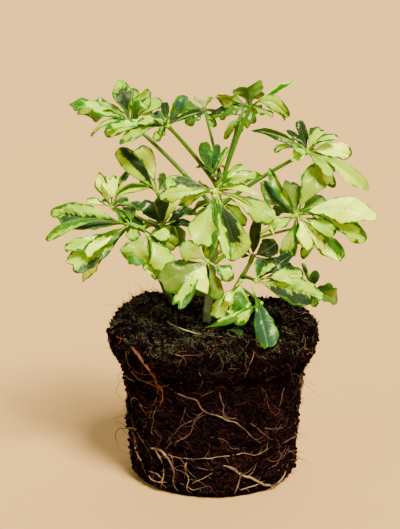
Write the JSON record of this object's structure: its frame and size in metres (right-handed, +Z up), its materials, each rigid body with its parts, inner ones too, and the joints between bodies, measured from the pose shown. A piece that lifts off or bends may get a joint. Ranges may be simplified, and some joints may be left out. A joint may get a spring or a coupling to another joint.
{
  "type": "umbrella plant with root ball",
  "caption": "Young variegated umbrella plant lifted out of its pot, with stems, compound leaves and a bare pot-shaped root ball that stands on its flat foot.",
  "frame": {"origin": "middle of the root ball's flat foot, on the surface that it stands on", "axes": "+Z up, -Y towards the viewer of the picture, +X to the viewer's right"},
  "size_m": [0.1809, 0.1217, 0.2287],
  "materials": {
    "soil": "crumbly dark peat bound by fine reddish roots, mossy on top",
    "stem": "smooth green to olive bark, semi-gloss",
    "leaf": "glossy leaflets, cream and lime with dark green patches and margins",
    "root": "matt cream to rust-brown roots"
  },
  "bodies": {
    "root": {"root_ball": "soil", "main_stem": "stem", "left_stem": "stem", "edge_shoot": "stem", "leaf_upper_left": "leaf", "leaf_upper_middle": "leaf", "leaf_tall_left": "leaf", "leaf_far_left": "leaf", "leaf_lower_left": "leaf", "leaf_left_tip": "leaf", "leaf_front_left": "leaf", "leaf_front": "leaf", "leaf_crown": "leaf", "leaf_back_left": "leaf", "leaf_back_right": "leaf", "leaf_top_right": "leaf", "leaf_upper_right": "leaf", "leaf_right": "leaf", "leaf_front_low": "leaf", "leaf_branch_tip": "leaf", "leaf_low_right": "leaf", "leaf_low_front": "leaf", "leaf_low_middle": "leaf", "leaf_rim": "leaf", "leaf_right_behind": "leaf", "leaf_behind": "leaf", "leaf_behind_left": "leaf", "roots_rust_left": "root", "roots_middle": "root", "roots_foot_left": "root", "roots_foot_right": "root", "roots_side_right": "root", "roots_back_right": "root", "roots_back": "root", "roots_side_left": "root"}
  },
  "joints": []
}
